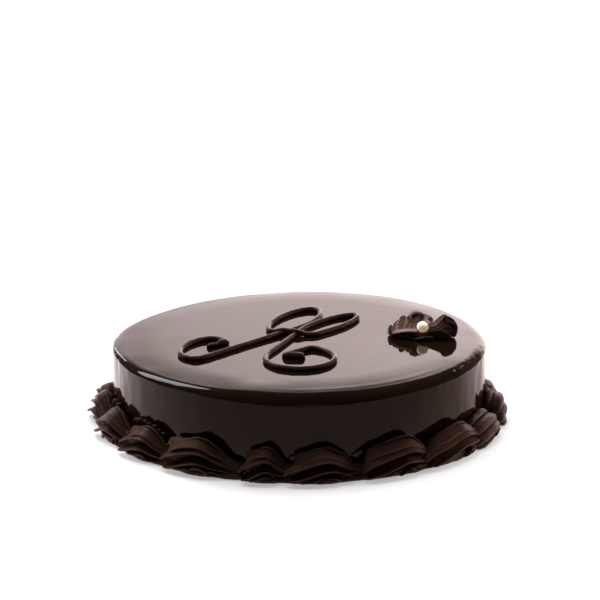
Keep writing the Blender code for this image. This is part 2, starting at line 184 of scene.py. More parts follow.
# The low strip of ganache that runs along the wall behind the shells
SHELL_BACK = (
    (-3.5, 1.8, 3.8, 2.4, 3.8), (6.0, 1.8, 4.6, 2.4, 4.6), (20.0, 1.8, 5.6, 2.6, 5.4),
    (34.0, 1.8, 4.6, 2.4, 4.6), (47.0, 1.8, 3.8, 2.4, 3.8),
)
# Its foot, which runs on from shell to shell
SHELL_FOOT = (
    (-4.0, 7.0, 1.2, 5.0, 1.8), (6.0, 7.0, 1.4, 5.8, 2.2), (20.0, 7.0, 1.6, 5.8, 2.4),
    (34.0, 6.6, 1.4, 5.4, 2.2), (47.0, 6.4, 1.2, 5.0, 1.8),
)
# The tall dark lobe between the last shell at the right and the wall
TALL_LOBES = {
    9: ((3.0, 3.4, 6.0, 2.8, 6.0), (13.0, 3.6, 9.4, 3.2, 9.0), (23.0, 3.8, 11.6, 3.4, 9.8),
        (31.0, 3.4, 9.4, 3.0, 8.6), (38.0, 3.0, 6.0, 2.4, 5.4)),
}
# Points around each strip, and rows along it
BAND_GRID, CORE_GRID, FOLD_GRID, CURL_GRID = (36, 56), (24, 24), (20, 30), (20, 36)

STRAND_WIDTH = 0.0035
STRAND_AROUND = 18
LUMP_STEPS = 14
CROSSING_LIFT = 0.0020
# Centre, half length, half width, lean, and the angles at which each arc begins and ends
SCROLL_ARCS = {
    "left_curl": ((-0.0600, -0.0300), 0.0220, 0.0135, 71.0, -35.0, 208.0),
    "left_loop": ((-0.0030, 0.0320), 0.0290, 0.0123, 63.0, -115.0, 180.0),
    "right_loop": ((0.0190, 0.0205), 0.0285, 0.0090, 50.0, -150.0, 140.0),
    "right_curl": ((0.0005, -0.0520), 0.0225, 0.0215, 90.0, 70.0, 338.0),
}
ARC_STEP = 34.0
STEM_SHARES = (0.3, 0.7)
LONGEST_BRIDGE = 0.030
STRAND_STEP = 0.0013
# Thick ends of the strand: from, to and radius
LEFT_BLOB = ((-0.0458, -0.0212), (-0.0588, -0.0262), 0.0017)
LEFT_BUMP = ((-0.0448, -0.0196), (-0.0520, -0.0232), 0.0025)
RIGHT_BLOB = ((-0.0108, -0.0472), (0.0040, -0.0495), 0.0022)
RIGHT_FOLD = (0.0005, -0.0365)

ROSETTE_CENTRE = (0.0800, -0.0030)
PEARL_DIAMETER = 0.0071
PEARL_PLACE = (0.0791, -0.0068)
PEARL_RISE = 0.0076


def blend(first, last, share):
    return first + (last - first) * share


def smooth(share):
    share = min(1.0, max(0.0, share))
    return share * share * (3.0 - 2.0 * share)


def ramp(value, low, high):
    return smooth((value - low) / (high - low))


def unevenness(point, size, seed=0.0):
    """Soft noise from -1 to 1, with lumps of about the given size."""
    return noise.noise(Vector(point) / size + Vector((seed, seed * 1.7, -seed)))


def uneven(point, reach, size, seed):
    return reach * unevenness(point, size, seed)


def top_height(x, y=0.0):
    """Height of the glazed top, which leans and is a little warped towards the back."""
    warp = 0.0024 * x * max(y, 0.0) / CAKE_RADIUS**2
    return CAKE_HEIGHT + TOP_RISE * x / (2 * CAKE_RADIUS) + warp


# -------------------------------------------------------------------- mesh helpers


def add_piece(name, mesh, material, slot, *replaced):
    piece = bpy.data.objects.new(name, mesh)
    bpy.context.scene.collection.objects.link(piece)
    mesh.materials.append(material)
    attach(piece, "root")
    if replaced:
        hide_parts(*replaced)
    return piece


def finished(work, name):
    mesh = bpy.data.meshes.new(name)
    work.to_mesh(mesh)
    work.free()
    mesh.shade_smooth()
    return mesh


def skin(work, around, rows, place):
    """A grid wrapped so that its two sides meet; place(turn, way) gives each point."""
    has_flow = bool(work.loops.layers.uv)
    made = bmesh.ops.create_grid(
        work, x_segments=around, y_segments=rows, size=0.5, calc_uvs=has_flow
    )
    for vert in made["verts"]:
        vert.co = place(vert.co.x + 0.5, vert.co.y + 0.5)
    return made["verts"]


def on_curve(before, start, end, after, t):
    """The point at share t of the smooth curve from start to end."""
    leaving, arriving = (end - before) / 2, (after - start) / 2
    from_start = start * (2 * t**3 - 3 * t**2 + 1) + leaving * (t**3 - 2 * t**2 + t)
    return from_start + end * (3 * t**2 - 2 * t**3) + arriving * (t**3 - t**2)


def along_profile(profile, way):
    """The smooth run through a list of tuples, at a share of its length."""
    place = way * (len(profile) - 1)
    k = min(int(place), len(profile) - 2)
    near = (max(k - 1, 0), k, k + 1, min(k + 2, len(profile) - 1))
    return on_curve(*(Vector(profile[i]) for i in near), place - k)


def close_up(work):
    bmesh.ops.remove_doubles(work, verts=work.verts, dist=MERGE_DISTANCE)
    bmesh.ops.recalc_face_normals(work, faces=work.faces)


# ------------------------------------------------------------------------ the drum


def over_the_edge():
    """Steps (outwards, downwards) of the outline from the flat top to the wall's upper edge."""
    steps = []
    for i in range(CROWN_STEPS):
        lean = math.radians(CROWN_LEAN * (i + 0.5) / CROWN_STEPS)
        steps.append((math.cos(lean), math.sin(lean), CROWN_LENGTH / CROWN_STEPS))
    for i in range(RIM_STEPS):
        lean = math.radians(blend(CROWN_LEAN, RIM_LEAN, (i + 0.5) / RIM_STEPS))
        steps.append((math.cos(lean), math.sin(lean), RIM_LENGTH / RIM_STEPS))
    return [(out * length, down * length) for out, down, length in steps]


EDGE_DOWNS = [down for _, down in over_the_edge()]
RIM_TOP = CAKE_HEIGHT - sum(EDGE_DOWNS[:CROWN_STEPS])
SHOULDER = CAKE_HEIGHT - sum(EDGE_DOWNS)


def drum_outline():
    """Outline from the middle of the top, over the rim and down the wall to the base."""
    steps = over_the_edge()
    radius = CAKE_RADIUS - sum(out for out, _ in steps)
    points = [(radius * i / TOP_RINGS, CAKE_HEIGHT) for i in range(TOP_RINGS + 1)]
    height = CAKE_HEIGHT
    for out, down in steps:
        radius, height = radius + out, height - down
        points.append((radius, height))
    for i in range(1, WALL_RINGS + 1):
        points.append((CAKE_RADIUS, blend(height, FOOT_BEVEL, (i / WALL_RINGS) ** 1.3)))
    points.append((CAKE_RADIUS - FOOT_BEVEL, 0.0))
    points.append((0.0, 0.0))
    return points


def glaze_point(spot):
    """A point of the turned drum, moved by the lean, the warp and the glaze's runs."""
    x, y, z = spot
    radius = math.hypot(x, y)
    turn = math.atan2(x, -y)
    off_front = abs(turn)
    level = (x, y, 0.0)
    side = Vector(level).normalized() if radius > 1e-6 else Vector((0.0, 0.0, 0.0))

    run = uneven((x, y, z * 0.35), *BROAD_RUN)
    at_sides = 1.0 + 0.8 * ramp(off_front, 0.8, 1.3)
    run += at_sides * uneven((x, y, z * 0.5), *MIDDLE_RUN)
    run += uneven((x, y, z * 0.25), *FINE_RUN)
    out = run * ramp(radius, CAKE_RADIUS - 0.0038, CAKE_RADIUS - 0.0008)
    out += uneven((x, y, z), *SLUMP) * ramp(radius, CAKE_RADIUS - 0.012, CAKE_RADIUS)

    drips = blend(LEFT_LIFT, RIGHT_LIFT, ramp(turn, -0.1, 0.1)) * ramp(off_front, 0.12, 0.65)
    drips += SIDE_LIFT * ramp(off_front, 0.9, 1.3)
    ragged = uneven(level, *BROAD_DRIP) + uneven(level, *FINE_DRIP)
    if z > SHOULDER:
        down = min(1.0, max(0.0, (RIM_TOP - z) / (RIM_TOP - SHOULDER)))
        drips = drips * down + ragged * down**3
    else:
        drips = (drips + ragged) * math.exp(-(((SHOULDER - z) / DRIP_FADE) ** 2))

    on_rim = ramp(radius, 0.112, 0.117) * ramp(z, SHOULDER - 0.001, SHOULDER + 0.002)
    lumps = uneven((x, y, z), *RIM_LUMP) * on_rim
    lumps *= 0.04 + ramp(turn, 0.6, 0.9) * (1.0 - ramp(turn, 1.3, 1.6))

    bead = 0.0
    if z > 0.004:
        line = math.exp(-(((radius - LINE_RADIUS) / LINE_WIDTH) ** 2))
        bead = LINE_HEIGHT * line * ramp(turn, -0.25, 0.1) * (1.0 - ramp(turn, 0.75, 1.0))
        swell = ramp(radius, CAKE_RADIUS - 0.030, CAKE_RADIUS - 0.008)
        bead += SWELL_HEIGHT * swell * math.exp(-(((turn - SWELL_TURN) / SWELL_WIDTH) ** 2))

    rise = top_height(x, y) - CAKE_HEIGHT + uneven(level, *RIM_WAVE) * ramp(radius, 0.09, 0.118)
    height = z + rise * z / CAKE_HEIGHT + bead * ramp(z, SHOULDER - 0.012, SHOULDER)
    height += (drips if z > 0.002 else 0.0) + lumps
    return Vector(level) + side * (out + lumps) + Vector((0.0, 0.0, height if z > 0.0 else 0.0))


def make_drum(material):
    work = bmesh.new()
    verts = [work.verts.new((x, 0.0, z)) for x, z in drum_outline()]
    edges = [work.edges.new(pair) for pair in zip(verts, verts[1:])]
    bmesh.ops.spin(
        work,
        geom=verts + edges,
        cent=(0.0, 0.0, 0.0),
        axis=(0.0, 0.0, 1.0),
        angle=2 * math.pi,
        steps=DRUM_STEPS,
        use_merge=True,
    )
    bmesh.ops.remove_doubles(work, verts=work.verts, dist=MERGE_DISTANCE)
    for vert in work.verts:
        vert.co = glaze_point(vert.co)
    bmesh.ops.recalc_face_normals(work, faces=work.faces)
    add_piece("glazed_drum", finished(work, "glazed_drum"), material, "mirror_glaze", "cake_body")


# ---------------------------------------------------------------- the shell border


def shell_spans():
    first, last = FRONT_HEAD_TURNS[0], FRONT_HEAD_TURNS[-1]
    behind = SHELL_COUNT - len(FRONT_HEAD_TURNS)
    step = (360.0 + first - last) / (behind + 1)
    heads = list(FRONT_HEAD_TURNS) + [last + step * (i + 1) for i in range(behind)]
    nexts = heads[1:] + [first + 360.0]
    return [
        (head + LATE_HEADS.get(i, 0.0), min(after - SHELL_SPACING, head + LONGEST_SHELL))
        for i, (head, after) in enumerate(zip(heads, nexts))
    ]


def rounded_end(distance, length, blunt):
    """How full a band is near its end, from 0 at the very tip."""
    share = min(1.0, max(0.0, distance / length))
    return (1.0 - (1.0 - share) ** blunt) ** (1.0 / blunt)


def raised(stations, lift, fullness):
    """A band's stations, thicker, and with its slope and its tail kept nearer to its crest."""
    stations = [(*station[:5], station[5] * fullness) for station in stations]
    crest, slope, tail = (Vector(station) for station in stations[2:])
    high_slope = slope.lerp(crest, min(1.0, 1.15 * lift))
    high_tail = tail.lerp(crest, lift * 0.9)
    high_slope[0], high_tail[0] = slope[0], tail[0]
    return (*stations[:2], tuple(crest), tuple(high_slope), tuple(high_tail))


def band_point(band, turn, way, shift):
    """A point of one band: its face is a little hollow and its lip a thin raised bead."""
    stations, end_length, blunt, turned = band
    along, tuck_out, tuck_up, lip_out, lip_up, thick = along_profile(stations, way)
    first = stations[0][0]
    fade = 1.0 - 0.5 * ramp(along, 0.0, 20.0)
    tuck = Vector((tuck_out, tuck_up)) + Vector(shift[:2]) * 0.4 * fade
    lip = Vector((lip_out, lip_up)) + Vector(shift[:2]) * fade
    along -= shift[2] * (1.0 - ramp(along - first, 0.0, 14.0))
    near_head = 1.0 - ramp(along - first, 0.0, 12.0)
    full = rounded_end(way * (stations[-1][0] - first), end_length, blunt)
    thin = 1.0 - ramp(thick, 2.6, 5.0)
    full *= rounded_end(stations[-1][0] - along, 4.0, 2.0)
    down = lip - tuck
    half = down.length / 2
    ahead = down.normalized()
    away = Vector((-ahead.y, ahead.x))
    angle = 2 * math.pi * turn
    angle -= 0.30 * math.sin(angle)
    near_lip = math.cos(angle)
    wave = unevenness((along, shift[3], 0.0), 6.0)
    edge = half * (1.0 + 0.10 * wave + 0.04 * unevenness((along, shift[3], 9.0), 1.8))
    side = math.sin(angle)
    hollow = math.exp(-(((near_lip - 0.15) / 0.42) ** 2))
    bead = math.exp(-(((near_lip - 0.90) / 0.09) ** 2))
    lines = math.exp(-(((near_lip - 0.60) / 0.06) ** 2)) * (0.5 + 0.5 * wave)
    lines += math.exp(-(((near_lip - 0.28) / 0.06) ** 2)) * (0.5 - 0.5 * wave)
    if side > 0.0:
        rise = thick * (0.5 * side ** blend(1.0, 0.7, thin) * full**0.45 - 0.20 * hollow * thin)
        rise += (0.42 * bead - 0.22 * lines) * thin
    else:
        rise = -0.5 * thick * abs(side) * (0.75 - 0.35 * near_lip) * full**0.45
    along += turned * shift[4] * near_lip * near_head
    middle = (tuck + lip) / 2 - away * (0.30 * thick)
    spot = middle + ahead * (edge * near_lip * full) + away * (rise * full**0.2)
    return Vector((along, spot.x, spot.y)) * MM


def core_point(stations, turn, way):
    along, out, up, width, height = along_profile(stations, way)
    full = rounded_end(way, 0.12, 2.0) * rounded_end(1.0 - way, 0.12, 2.0)
    angle = 2 * math.pi * (turn + 0.5)
    return MM * Vector((
        along, out + width * full * math.cos(angle), up + height * full * math.sin(angle)
    ))


def fold_point(fold, turn, way):
    """A narrow strip of ganache that arches up from the table at a shell's foot."""
    _, start, length, out, height, width, twist = fold
    arch = math.sin(math.pi * way)
    full = rounded_end(way, 0.2, 2.0) * rounded_end(1.0 - way, 0.2, 2.0)
    lean = math.radians(twist * (way - 0.35))
    angle = 2 * math.pi * turn
    across = width * full * math.cos(angle)
    thick = 0.55 * full * math.sin(angle)
    return MM * Vector((
        start + length * way,
        out + 1.2 * arch + across * math.cos(lean) + thick * math.sin(lean),
        0.5 + height * arch**0.8 + across * math.sin(lean) + thick * math.cos(lean),
    ))


def curl_at_foot(curl, turn, way):
    """A strip rolled into a small open curl, seen from its end."""
    _, along, out, up, radius = curl
    around = math.radians(blend(250.0, -60.0, way))
    full = rounded_end(way, 0.12, 2.0) * rounded_end(1.0 - way, 0.3, 2.0)
    reach = radius * blend(1.0, 0.62, way)
    angle = 2 * math.pi * turn
    ring = reach + 0.5 * full * math.cos(angle)
    return MM * Vector((
        along + ring * math.cos(around),
        out - 1.0 + 1.8 * full * math.sin(angle),
        up + ring * math.sin(around),
    ))


def to_crest(point, crest):
    """Moves the crest of a shell along it, without moving its ends."""
    share = point.x / SHELL_LENGTH
    late = crest - USUAL_CREST
    moved = share + late * math.sin(math.pi * min(1.0, max(0.0, share))) ** 1.5
    return Vector((moved * SHELL_LENGTH, point.y, point.z))


def on_border(point, head_turn, stretch, rise):
    angle = math.radians(head_turn) + point.x * stretch / SHELL_TRACK
    radius = CAKE_RADIUS + max(point.y, TOUCH_GAP)
    return Vector((radius * math.sin(angle), -radius * math.cos(angle), max(point.z, 0.0) * rise))


def make_shells(material):
    for index, (head, tail) in enumerate(shell_spans()):
        stretch = math.radians(tail - head) * SHELL_TRACK / SHELL_LENGTH
        rise = SHELL_RISES.get(index, 1.0 + SHELL_UNEVENNESS * math.sin(2.4 * index))
        turn = (head + 180.0) % 360.0 - 180.0
        bands = LOBE_BANDS if index in LOBED_SHELLS else SHELL_BANDS
        hand = min(3.0, max(-2.0, -0.07 * turn))
        crest = CREST_SHARES.get(index, USUAL_CREST)

        def put(point):
            point = to_crest(point, crest)
            spot = on_border(point, head, stretch, rise)
            heart = on_border(Vector((point.x, *HEART)), head, stretch, rise)
            push = uneven(spot, *SHELL_WAVE, index) + uneven(spot, *SHELL_GRAIN, index + 9.0)
            away = (spot - heart).normalized() * push
            return Vector((spot.x + away.x, spot.y + away.y, max(0.0, spot.z + away.z)))

        work = bmesh.new()
        work.loops.layers.uv.new("flow")
        cores = [SHELL_CORE, SHELL_BACK, SHELL_FOOT]
        if index in TALL_LOBES:
            cores.append(TALL_LOBES[index])
        for core in cores:
            skin(work, *CORE_GRID, lambda turn, way: put(core_point(core, turn, way)))
        for i, band in enumerate(bands):
            seed = index * 5.3 + i * 1.7
            shift = [unevenness((seed, k * 3.1, 0.5), 1.0, 2.0) for k in range(3)]
            shift = (shift[0] * 1.3, shift[1] * 1.5, shift[2] * 3.0, seed, hand)
            full = SHELL_FULLNESS.get(index, 1.0) if 0 < i < 6 else 1.0
            bent = (raised(band[0], HIGH_TAILS.get(index, 0.0), full), *band[1:])

            def place(turn, way):
                return put(band_point(bent, turn, way**ROW_PACKING, shift))

            skin(work, *BAND_GRID, place)
        for fold in FOOT_FOLDS:
            if index == fold[0]:
                skin(work, *FOLD_GRID, lambda turn, way: put(fold_point(fold, turn, way)))
        for curl in FOOT_CURLS:
            if index == curl[0]:
                skin(work, *CURL_GRID, lambda turn, way: put(curl_at_foot(curl, turn, way)))
        close_up(work)
        node = f"shell_{index + 1:02d}"
        name = f"piped_{node}"
        add_piece(name, finished(work, name), material, "piped_ganache", node)


# -------------------------------------------------------------------- the scroll


def arc_points(centre, half_length, half_width, lean, first, last):
    axis = Vector((math.cos(math.radians(lean)), math.sin(math.radians(lean))))
    across = Vector((-axis.y, axis.x))
    steps = max(1, round(abs(last - first) / ARC_STEP))
    points = []
    for i in range(steps + 1):
        angle = math.radians(blend(first, last, i / steps))
        offset = axis * (half_length * math.cos(angle)) + across * (half_width * math.sin(angle))
        points.append(Vector(centre) + offset)
    return points


def smooth_run(points, step):
    """Points a step apart on the smooth curve through the given ones."""
    ends = [points[0] * 2 - points[1], points[-1] * 2 - points[-2]]
    padded = [ends[0]] + points + [ends[1]]
    run = []
    for before, start, end, after in zip(padded, padded[1:], padded[2:], padded[3:]):
        pieces = max(1, round((end - start).length / step))
        run += [on_curve(before, start, end, after, i / pieces) for i in range(pieces)]
    return run + [points[-1]]


def scroll_run():
    points = [Vector(LEFT_BLOB[0])]
    for arc in SCROLL_ARCS.values():
        following = arc_points(*arc)
        if (following[0] - points[-1]).length > LONGEST_BRIDGE:
            points += [points[-1].lerp(following[0], share) for share in STEM_SHARES]
        points += following
    points += [Vector(RIGHT_FOLD), Vector(RIGHT_BLOB[0])]
    run = smooth_run(points, STRAND_STEP)
    tips = []
    for name in ("left_loop", "right_loop"):
        centre, half_length, half_width, lean, _, _ = SCROLL_ARCS[name]
        tip = arc_points(centre, half_length, half_width, lean, 0.0, 0.0)[0]
        tips.append(min(range(len(run)), key=lambda i: (run[i] - tip).length))
    return run, tips


def strand_lifts(run, left_tip, right_tip):
    """How far the middle stroke rides up where it crosses the other two."""
    lifts = []
    for i, point in enumerate(run):
        lift = 0.0
        if left_tip < i < right_tip:
            near = min(
                (point - other).length
                for k, other in enumerate(run)
                if k < left_tip - 8 or k > right_tip + 8
            )
            lift = CROSSING_LIFT * (1.0 - ramp(near, 0.0010, 0.0060))
        lifts.append(lift)
    for _ in range(3):
        lifts = [
            (lifts[max(i - 1, 0)] + lifts[i] + lifts[min(i + 1, len(lifts) - 1)]) / 3
            for i in range(len(lifts))
        ]
    return lifts


def strand_skin(work, run, widths, lifts):
    """A round strand through the run, a little flat where it lies on the glaze."""
    last = len(run) - 1

    def place(turn, way):
        i = round(way * last)
        point = run[i]
        ahead = (run[min(i + 1, last)] - run[max(i - 1, 0)]).normalized()
        across = Vector((ahead.y, -ahead.x, 0.0))
        radius = widths[i]
        height = top_height(point.x, point.y) + radius * 0.80 + lifts[i]
        centre = Vector((point.x, point.y, height))
        angle = 2 * math.pi * turn
        offset = across * (radius * math.cos(angle)) + Vector((0, 0, radius * math.sin(angle)))
        spot = centre + offset
        if radius:
            spot += offset.normalized() * uneven(spot, 0.00010, 0.003, 2.0)
        spot.z = max(spot.z, top_height(spot.x, spot.y) + TOUCH_GAP / 3)
        return spot

    skin(work, STRAND_AROUND, last, place)


def make_scroll(material):
    run, (left_tip, right_tip) = scroll_run()
    count = len(run)
    lifts = strand_lifts(run, left_tip, right_tip)
    widths = []
    for i in range(count):
        width = STRAND_WIDTH / 2 * (1.0 + 0.06 * unevenness((i * 0.06, 0.0, 0.0), 1.0, 4.0))
        end = min(i, count - 1 - i)
        widths.append(width * math.sqrt(min(1.0, end / 2)) if end < 2 else width)
    work = bmesh.new()
    strand_skin(work, run, widths, lifts)
    for start, end, radius in (LEFT_BLOB, LEFT_BUMP, RIGHT_BLOB):
        first, last = Vector(start), Vector(end)
        shares = [i / LUMP_STEPS for i in range(LUMP_STEPS + 1)]
        lump = [first.lerp(last, share) for share in shares]
        rounds = [radius * max(0.0, 1 - abs(2 * share - 1) ** 5) ** 0.5 for share in shares]
        strand_skin(work, lump, rounds, [0.0002] * len(lump))
    close_up(work)
    mesh = finished(work, "piped_scroll")
    add_piece("piped_scroll", mesh, material, "scroll_chocolate", "scroll")


# ------------------------------------------------------------- rosette and pearl

COMBED = 1.5  # the ridges of the sheet that the comb has drawn, which has dark grooves too
# Folded sheets, in millimetres from the rosette's middle on the glaze: stations of
# (foot x, y, z, rim x, y, z), and then how far the sheet bulges, its thickness, its ridges and
# how much painted shade darkens its chocolate, from 0 to 1
ROSETTE_SHEETS = (
    # knob and low fold at the left
    (((-22.2, 4.6, 0.6, -22.4, 5.2, 3.6), (-20.8, 3.0, 0.0, -21.0, 4.2, 6.8),
      (-19.0, 4.0, 0.6, -19.4, 5.2, 5.0)), 0.3, 2.6, 0, 0.6),
    (((-18.6, -3.2, 2.4, -20.6, -0.6, 4.4), (-17.2, -1.6, 3.0, -19.2, 3.0, 7.2),
      (-15.0, -0.4, 3.2, -16.8, 5.6, 9.0), (-14.0, 2.0, 3.4, -15.0, 8.0, 9.2)), 0.6, 1.5, 2, 0.0),
    # upright folds at the back left, which look to the right
    (((-16.2, -0.6, 2.8, -16.4, 2.4, 7.6), (-14.2, 0.4, 3.0, -15.4, 5.0, 11.4),
      (-11.6, 3.2, 3.6, -13.0, 7.5, 12.2), (-10.8, 6.0, 4.2, -11.4, 9.0, 11.2)), 0.8, 1.7, 1, 0.0),
    (((-12.2, -1.0, 3.2, -12.0, 2.4, 8.4), (-10.2, 0.6, 3.4, -10.9, 5.0, 11.7),
      (-7.6, 3.6, 4.0, -8.8, 8.4, 12.4), (-6.6, 6.0, 4.4, -7.4, 9.6, 11.8)), 0.6, 1.6, 1, 0.0),
    # what closes the folds behind, painted dark as shade
    (((-19.6, 4.4, 0.0, -19.6, 6.0, 6.0), (-16.0, 6.6, 0.0, -16.0, 8.4, 9.0),
      (-12.0, 8.4, 0.0, -12.0, 9.6, 10.4), (-7.0, 9.0, 0.0, -7.0, 10.4, 11.0),
      (-2.0, 9.6, 0.0, -2.0, 10.6, 10.4)), 0.3, 1.4, 0, 0.85),
    # strip that curls over at the back
    (((-7.95, 4.8, 8.4, -8.4, 11.0, 7.6), (-8.7, 4.4, 10.6, -9.2, 11.0, 9.8),
      (-7.6, 4.4, 13.4, -8.0, 11.0, 12.6), (-4.8, 4.6, 14.6, -4.8, 11.0, 13.8),
      (-2.0, 5.6, 14.0, -1.6, 11.0, 13.2), (0.6, 7.4, 12.8, 1.0, 11.0, 12.0)), 0.2, 1.6, 2, 0.5),
    # sheet behind the curl, painted almost black as the shade in the hole under the curl
    (((-8.4, 10.0, 5.0, -8.4, 10.4, 11.2), (-5.6, 10.0, 5.0, -5.6, 10.4, 13.4),
      (-2.0, 10.0, 5.0, -2.0, 10.4, 12.8), (1.0, 9.6, 5.0, 1.0, 10.0, 11.4)), 0.1, 1.1, 0, 0.9),
    # broad lobe in the middle
    (((-7.4, -5.2, 4.2, -9.4, -0.4, 6.4), (-5.0, -3.4, 4.8, -7.8, 5.5, 8.8),
      (-2.6, -2.4, 5.6, -4.2, 9.4, 10.8), (1.0, -1.8, 6.4, 1.4, 11.0, 11.6),
      (4.6, -0.8, 7.0, 7.6, 9.0, 9.4)), 1.0, 1.6, 1, 0.45),
    # combed ridges that sweep up to the tip at the right
    (((3.4, -3.0, 6.6, 3.2, 1.5, 8.0), (6.6, -3.0, 6.7, 5.9, 2.5, 8.6),
      (9.6, -1.5, 8.0, 8.6, 4.0, 10.4), (12.0, 0.5, 10.2, 10.3, 5.0, 11.5),
      (17.0, 2.5, 12.3, 13.3, 6.0, 13.4)), 0.4, 1.2, COMBED, 0.0),
    # outer petal at the right, darkened with painted shade
    (((9.4, 0.5, 4.0, 10.0, -0.6, 7.6), (12.0, 1.6, 3.6, 13.2, -0.2, 13.8),
      (15.5, 2.0, 3.0, 17.2, -2.0, 13.4), (17.6, 1.4, 1.6, 20.5, -2.8, 10.0),
      (18.0, 0.4, 0.6, 21.6, -3.0, 6.0), (17.2, -1.4, 0.0, 19.8, -3.8, 0.4)), 1.0, 1.4, 1, 0.80),
    # deep inside of the right half, painted nearly black as deep shade
    (((2.4, -5.0, 2.0, 2.6, -2.2, 6.6), (6.6, -5.6, 1.6, 6.6, -2.2, 6.8),
      (10.3, -5.6, 1.4, 9.8, -1.0, 8.0), (13.6, -5.4, 1.2, 12.6, 1.0, 11.4),
      (17.0, -4.8, 0.8, 17.0, 0.4, 11.0), (19.0, -4.4, 0.4, 20.0, -1.8, 6.5)), -0.4, 1.4, 2, 0.95),
    # lobes at the front, which lean out over their own feet, darkened with painted shade
    (((2.6, -5.4, 0.2, 3.0, -6.0, 5.0), (6.4, -6.6, 0.0, 6.6, -8.5, 6.6),
      (10.0, -7.4, 0.0, 10.3, -9.5, 6.7), (13.0, -7.2, 0.0, 13.6, -9.0, 5.5),
      (15.4, -6.6, 0.0, 16.2, -8.0, 3.4), (17.6, -5.4, 0.0, 18.2, -6.4, 0.6)), 0.6, 1.1, 0, 0.92),
    (((-6.0, -7.6, 0.0, -6.2, -9.4, 0.6), (-2.0, -8.6, 0.4, -2.2, -11.4, 2.4),
      (3.0, -8.4, 0.6, 3.2, -10.8, 3.2), (6.0, -7.8, 0.2, 6.2, -9.6, 1.6)), 0.5, 1.0, 0, 0.9),
    (((-20.4, 0.0, 0.0, -21.4, -2.0, 1.6), (-17.5, -1.5, 0.0, -19.6, -4.0, 3.2),
      (-13.0, -3.5, 0.0, -14.2, -6.5, 4.9), (-8.0, -5.0, 0.0, -8.5, -8.0, 5.7),
      (-4.4, -5.4, 0.0, -4.6, -7.6, 5.0)), 0.4, 1.1, 0, 0.85),
    # floor of the dish at the left
    (((-20.0, -3.0, 2.6, -19.4, 2.0, 2.2), (-14.2, -6.0, 4.7, -14.0, 3.4, 3.0),
      (-8.6, -7.6, 5.4, -8.6, 4.6, 3.6), (-4.0, -7.2, 4.6, -4.0, 3.6, 4.0)), -0.5, 1.2, 2, 0.5),
)
# The filled inside: (radius, height), in millimetres, stretched to an oval
ROSETTE_CORE = ((0.0, 4.0), (5.0, 4.0), (9.0, 3.0), (11.4, 1.4), (12.0, 0.0))
CORE_STRETCH = (1.52, 0.60)
RIDGE_HEIGHTS = {0: 0.0, 1: 0.16, COMBED: 0.5, 2: 0.22}  # in millimetres
# How much painted shade darkens the grooves of the combed sheet
GROOVE_PAINTED_SHADE = 0.6
SHEET_GRID, ROSETTE_CORE_GRID = (64, 48), (60, 16)


def sheet_point(sheet, turn, way):
    """A point of one folded sheet of the rosette."""
    stations, bulge, thick, ridges, _ = sheet
    spot = along_profile(stations, way)
    before = along_profile(stations, max(0.0, way - 0.02))
    after = along_profile(stations, min(1.0, way + 0.02))
    foot, rim = Vector(spot[:3]), Vector(spot[3:])
    run = Vector(after[:3]) + Vector(after[3:]) - Vector(before[:3]) - Vector(before[3:])
    rise = rim - foot
    away = run.cross(rise).normalized()
    angle = 2 * math.pi * turn
    across, side = math.cos(angle), math.sin(angle)
    full = rounded_end(way, 0.14, 2.2) * rounded_end(1.0 - way, 0.14, 2.2)
    wave = unevenness((way * 2.2, bulge, ridges), 1.0, thick)
    edge = 1.0 + 0.05 * wave + 0.02 * unevenness((way * 7.0, bulge, ridges), 1.0, thick)
    swell = bulge * (1.0 - across * across)
    swell -= RIDGE_HEIGHTS[ridges] * math.cos(2.0 * math.pi * ridges * across)
    lift = 0.5 * thick * math.copysign(abs(side) ** 0.7, side) * full**0.5
    lift += 0.16 * math.exp(-(((across - 0.93) / 0.08) ** 2)) * math.copysign(1.0, side)
    spot = (foot + rim) / 2 + rise / 2 * (across * edge * full) - away * (swell + lift)
    x, y = ROSETTE_CENTRE[0] + spot.x * MM, ROSETTE_CENTRE[1] + spot.y * MM
    point = Vector((x, y, top_height(x, y) + TOUCH_GAP / 3 + max(spot.z, 0.0) * MM))
    lump = uneven(point, 0.00022, 0.0050, 2.0) + uneven(point, 0.00007, 0.0016, 7.0)
    return point + Vector((lump, lump, lump if spot.z > 0.2 else 0.0))


def rosette_core_point(turn, way):
    radius, height = along_profile(ROSETTE_CORE, way)
    angle = 2 * math.pi * turn
    x = ROSETTE_CENTRE[0] + radius * MM * math.cos(angle) * CORE_STRETCH[0]
    y = ROSETTE_CENTRE[1] + radius * MM * math.sin(angle) * CORE_STRETCH[1]
    return Vector((x, y, top_height(x, y) + TOUCH_GAP / 3 + max(height, 0.0) * MM))


def make_rosette(material):
    work = bmesh.new()
    work.loops.layers.uv.new("flow")
    painted_shade = work.verts.layers.float.new("painted_shade")
    # The filled inside is painted in full shade
    for vert in skin(work, *ROSETTE_CORE_GRID, rosette_core_point):
        vert[painted_shade] = 1.0
    for sheet in ROSETTE_SHEETS:
        shades = []

        def place(turn, way):
            shade = sheet[4]
            # painted shade in the grooves of the combed sheet
            if sheet[3] == COMBED:
                across = math.cos(2 * math.pi * turn)
                groove = 0.5 + 0.5 * math.cos(2 * math.pi * COMBED * across)
                shade += GROOVE_PAINTED_SHADE * groove
            shades.append(min(1.0, shade))
            return sheet_point(sheet, turn, way)

        for vert, shade in zip(skin(work, *SHEET_GRID, place), shades):
            vert[painted_shade] = shade
    bmesh.ops.remove_doubles(work, verts=work.verts, dist=MERGE_DISTANCE)
    bmesh.ops.holes_fill(work, edges=work.edges, sides=0)
    bmesh.ops.recalc_face_normals(work, faces=work.faces)
    mesh = finished(work, "ruffled_rosette")
    add_piece("ruffled_rosette", mesh, material, "rosette_chocolate", "rosette")


